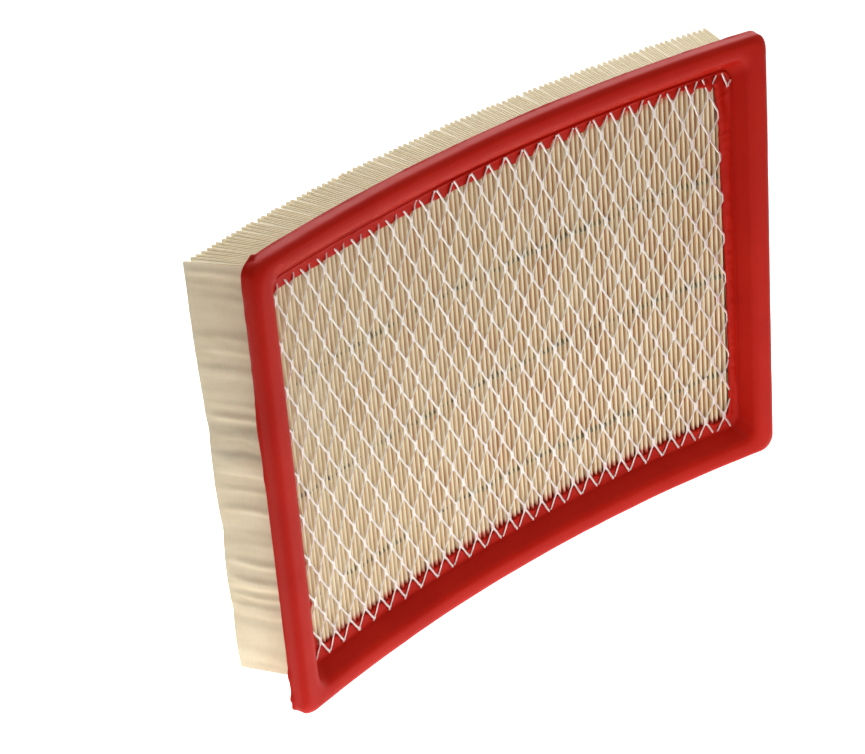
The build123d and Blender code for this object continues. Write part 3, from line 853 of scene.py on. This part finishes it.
def make_screen():
    verts, faces, base = [], [], 0
    tilt_b, tilt_l = math.radians(22), math.radians(36)
    half_s, half_d = STRAND_W / 2 * math.cos(tilt_b), STRAND_W / 2 * math.sin(tilt_b)
    rows = np.arange(-12, 13)
    for m in range(-32, 30):
        s, z, h, phi, wide = [], [], [], [], []
        for j in rows:
            right_half = (m + j) % 2 == 0
            c = m if right_half else m + 1
            sb, zb = bond(c, j)
            sb += 0.10 * math.sin(c * 1.7 + j * 2.9)
            zb += 0.14 * math.sin(c * 2.3 + j * 1.1)
            side = 1.0 if right_half else -1.0
            for dz, ease in ((-1.45, 0.30), (-0.8, 0.06), (0.0, 0.0), (0.8, 0.06), (1.45, 0.30)):
                away = 1.0 if right_half else -1.0
                s.append(sb + side * half_s + away * ease * 0.5)
                z.append(zb + dz)
                h.append(SCREEN_H - side * half_d)
                phi.append(tilt_b + (tilt_l - tilt_b) * (0.0 if abs(dz) < 0.9 else 0.35))
                wide.append(1.18 if abs(dz) < 0.9 else 1.06)
            # the leg up to the next bond
            c2 = m + 1 if right_half else m
            s2, z2 = bond(c2, j + 1)
            s2 += 0.10 * math.sin(c2 * 1.7 + (j + 1) * 2.9)
            z2 += 0.14 * math.sin(c2 * 2.3 + (j + 1) * 1.1)
            side2 = -side
            a = (sb + side * half_s + side * 0.15, zb + 1.45)
            b = (s2 + side2 * half_s + side2 * 0.15, z2 - 1.45)
            for t in (0.12, 0.3, 0.5, 0.7, 0.88):
                e = t + 0.035 * math.sin(2 * math.pi * t)
                s.append(a[0] + (b[0] - a[0]) * e)
                z.append(a[1] + (b[1] - a[1]) * t)
                h.append(SCREEN_H - half_d * (side * (1 - t) + side2 * t))
                phi.append(tilt_l)
                wide.append(0.97)
        s, z, h, phi, wide = map(np.array, (s, z, h, phi, wide))
        # finer line, then cut to the sheet's outline
        n = len(s)
        x = np.arange(n)
        xf = np.linspace(0, n - 1, (n - 1) * 2 + 1)
        s, z, h, phi, wide = (np.interp(xf, x, v) for v in (s, z, h, phi, wide))
        # the moulding has closed over the right-hand edge, apart from the two corners
        sunk = np.clip((s - 103.2) / 1.6, 0, 1) * (1 - np.exp(-((z - WIDTH + 13) / 11.0) ** 4)) * (1 - np.exp(-((z - 13) / 5.0) ** 4))
        h = h - 0.62 * sunk * sunk * (3 - 2 * sunk)
        h = h - 0.85 * smooth(-s, 22, 50) * smooth(z, WIDTH - 15.9 + 0.5 * noise1(m * 1.3, 94), WIDTH - 14.5)
        cover = (z > 21) & (z < 154.6)
        inside = (s > -CUT_LEFT) & (s < np.where(cover, 105.1 - 1.7 * smooth(z, 142, 147) + 0.4 * noise1(m * 2.7, 93), CUT_RIGHT)) & (z > CUT_LOW + 0.35 * noise1(m * 1.9, 91)) & (z < CUT_TOP + 0.35 * noise1(m * 2.3, 92))
        runs, start = [], None
        for q in range(len(s)):
            if inside[q] and start is None:
                start = q
            if not inside[q] and start is not None:
                runs.append((start, q))
                start = None
        if start is not None:
            runs.append((start, len(s)))
        for a, b in runs:
            if b - a < 6:
                continue
            keep = np.array([q for q in range(a, b) if q % 2 == 0 or q in (a, b - 1)])
            ls, lz, lh, lp, lw = s[keep], z[keep], h[keep], phi[keep], wide[keep]
            ds, dz = np.gradient(ls), np.gradient(lz)
            k = np.hypot(ds, dz)
            ps, pz = dz / k, -ds / k
            w, t, c = STRAND_W / 2, STRAND_T / 2, 0.05
            sec = [(-w + c, t), (w - c, t), (w, t - c), (w, -t + c), (w - c, -t), (-w + c, -t), (-w, -t + c), (-w, t - c)]
            ring = []
            for a1, b1 in sec:
                across = a1 * lw * np.cos(lp) + b1 * np.sin(lp)
                depth = -a1 * lw * np.sin(lp) + b1 * np.cos(lp)
                ring.append(P(ls + across * ps, lh + depth, lz + across * pz))
            V = np.stack(ring, 1)
            n = len(keep)
            verts.append(V.reshape(-1, 3))
            faces.append(quads(n, 8, close_v=True, base=base))
            for e in (0, n - 1):
                o = base + e * 8
                faces.append(np.array([[o, o + 1, o + 2, o + 7], [o + 2, o + 3, o + 6, o + 7], [o + 3, o + 4, o + 5, o + 6]]))
            base += n * 8
    ob = make_object("expanded_screen", np.concatenate(verts), [np.concatenate(faces)], sharp_deg=35)
    return ob


# ---------------------------------------------------------------- put the pieces together
rubber, paper, panel = mat_rubber(), mat_paper("pleat_paper"), mat_paper("end_panel_paper", True)
metal = mat_screen()
# painted shade: the front glue dots get a dark grey-olive colour for the shade down in the valleys, while the same
# hot-melt at the rear is pale
front_glue_painted_shade = mat_glue("spacer_glue", lin(140, 129, 104), lin(92, 86, 72), 0.45)
pale_glue = mat_glue("rear_spacer_glue", lin(226, 214, 184), lin(204, 190, 156), 0.35)
edge_glue = mat_glue("pleat_end_glue", lin(236, 224, 190), lin(224, 208, 168), 0.45)

rubber.on(piece(make_frame(), "seal_pu", "seal_frame"))
paper.on(piece(make_media(), "filter_paper", "pleated_media"))
panel.on(piece(make_end_panel(), "filter_paper"))
metal.on(piece(make_screen(), "screen_metal", "mesh_screen"))
edge_glue.on(piece(make_edge_seal("pleat_glue_lower", ZA, 1), "hot_melt", "edge_seal_lower"))
edge_glue.on(piece(make_edge_seal("pleat_glue_upper", ZB, -1), "hot_melt", "edge_seal_upper"))
for n, (level, z0) in enumerate((("lower", 35.9), ("middle", 77.5), ("upper", 119.2))):
    front_glue_painted_shade.on(piece(make_front_bead("glue_dots_front_" + level, z0, n), "hot_melt", "spacer_bead_front_" + level))
    pale_glue.on(piece(make_rear_bead("glue_thread_rear_" + level, z0, n), "hot_melt", "spacer_bead_rear_" + level))

# ---------------------------------------------------------------- floor
bpy.ops.mesh.primitive_plane_add(size=60.0, location=(0, 0, -HW * 1e-3 - 0.0004))
floor = bpy.context.object
floor.name = "floor"
mat_floor().on(floor)
floor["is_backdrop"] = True

# ---------------------------------------------------------------- light
def area(name, loc, target, size, power, color=(1, 1, 1), size_y=None):
    li = bpy.data.lights.new(name, "AREA")
    li.energy, li.color, li.size = power, color, size
    if size_y:
        li.shape, li.size_y = "RECTANGLE", size_y
    ob = bpy.data.objects.new(name, li)
    bpy.context.scene.collection.objects.link(ob)
    ob.location = loc
    d = Vector(target) - Vector(loc)
    ob.rotation_euler = d.to_track_quat("-Z", "Y").to_euler()
    return ob


world = bpy.data.worlds.new("studio")
bpy.context.scene.world = world
world.use_nodes = True
wn = world.node_tree
bg = wn.nodes.get("Background") or wn.nodes.new("ShaderNodeBackground")
bg.inputs[0].default_value = (1.0, 1.0, 1.0, 1.0)
bg.inputs[1].default_value = 0.20


def panel(name, az, el, dist, w, hgt, radiance, spread=180.0):
    """Soft box seen from the object at azimuth az (0 is +Y, 90 is +X) and elevation el, with an even radiance."""
    a, e = math.radians(az), math.radians(el)
    loc = Vector((math.sin(a) * math.cos(e), math.cos(a) * math.cos(e), math.sin(e))) * dist
    ob = area(name, loc, (0, 0, 0), w, radiance * math.pi * w * hgt, size_y=hgt)
    ob.data.spread = math.radians(spread)
    return ob


panel("box_back", 32, 31, 1.5, 2.4, 1.0, 3.2)
panel("box_top", 20, 78, 1.3, 1.3, 1.3, 0.50)
panel("box_front", 180, 50, 1.4, 1.2, 1.0, 0.9)
panel("box_right", 110, 30, 1.3, 0.9, 0.7, 0.7)

# ---------------------------------------------------------------- camera, at the picture's viewing angle
right = Vector((0.74154843, -0.66660633, -0.07577552)).normalized()
ahead = Vector((0.55410332, 0.67221325, -0.49101818)).normalized()
up = right.cross(ahead).normalized()
ahead = up.cross(right).normalized()
cam = bpy.data.cameras.new("camera")
cam.sensor_width = 36.0
cam.lens = 114.54
cam.clip_start, cam.clip_end = 0.01, 100.0
co = bpy.data.objects.new("camera", cam)
bpy.context.scene.collection.objects.link(co)
place = Vector((-0.56371, -0.64104, 0.47337))
rot = Matrix((right, up, -ahead)).transposed().to_4x4()
co.matrix_world = Matrix.Translation(place) @ rot
bpy.context.scene.camera = co
bpy.context.scene.view_settings.view_transform = "Standard"
bpy.context.scene.view_settings.look = "None"

bpy.context.view_layer.update()


def plain(box):
    if isinstance(box, dict):
        return {k: plain(v) for k, v in box.items()}
    try:
        return [plain(v) for v in box]
    except TypeError:
        return float(box)


{"cad": plain(cad_box), "visual": plain(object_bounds())}
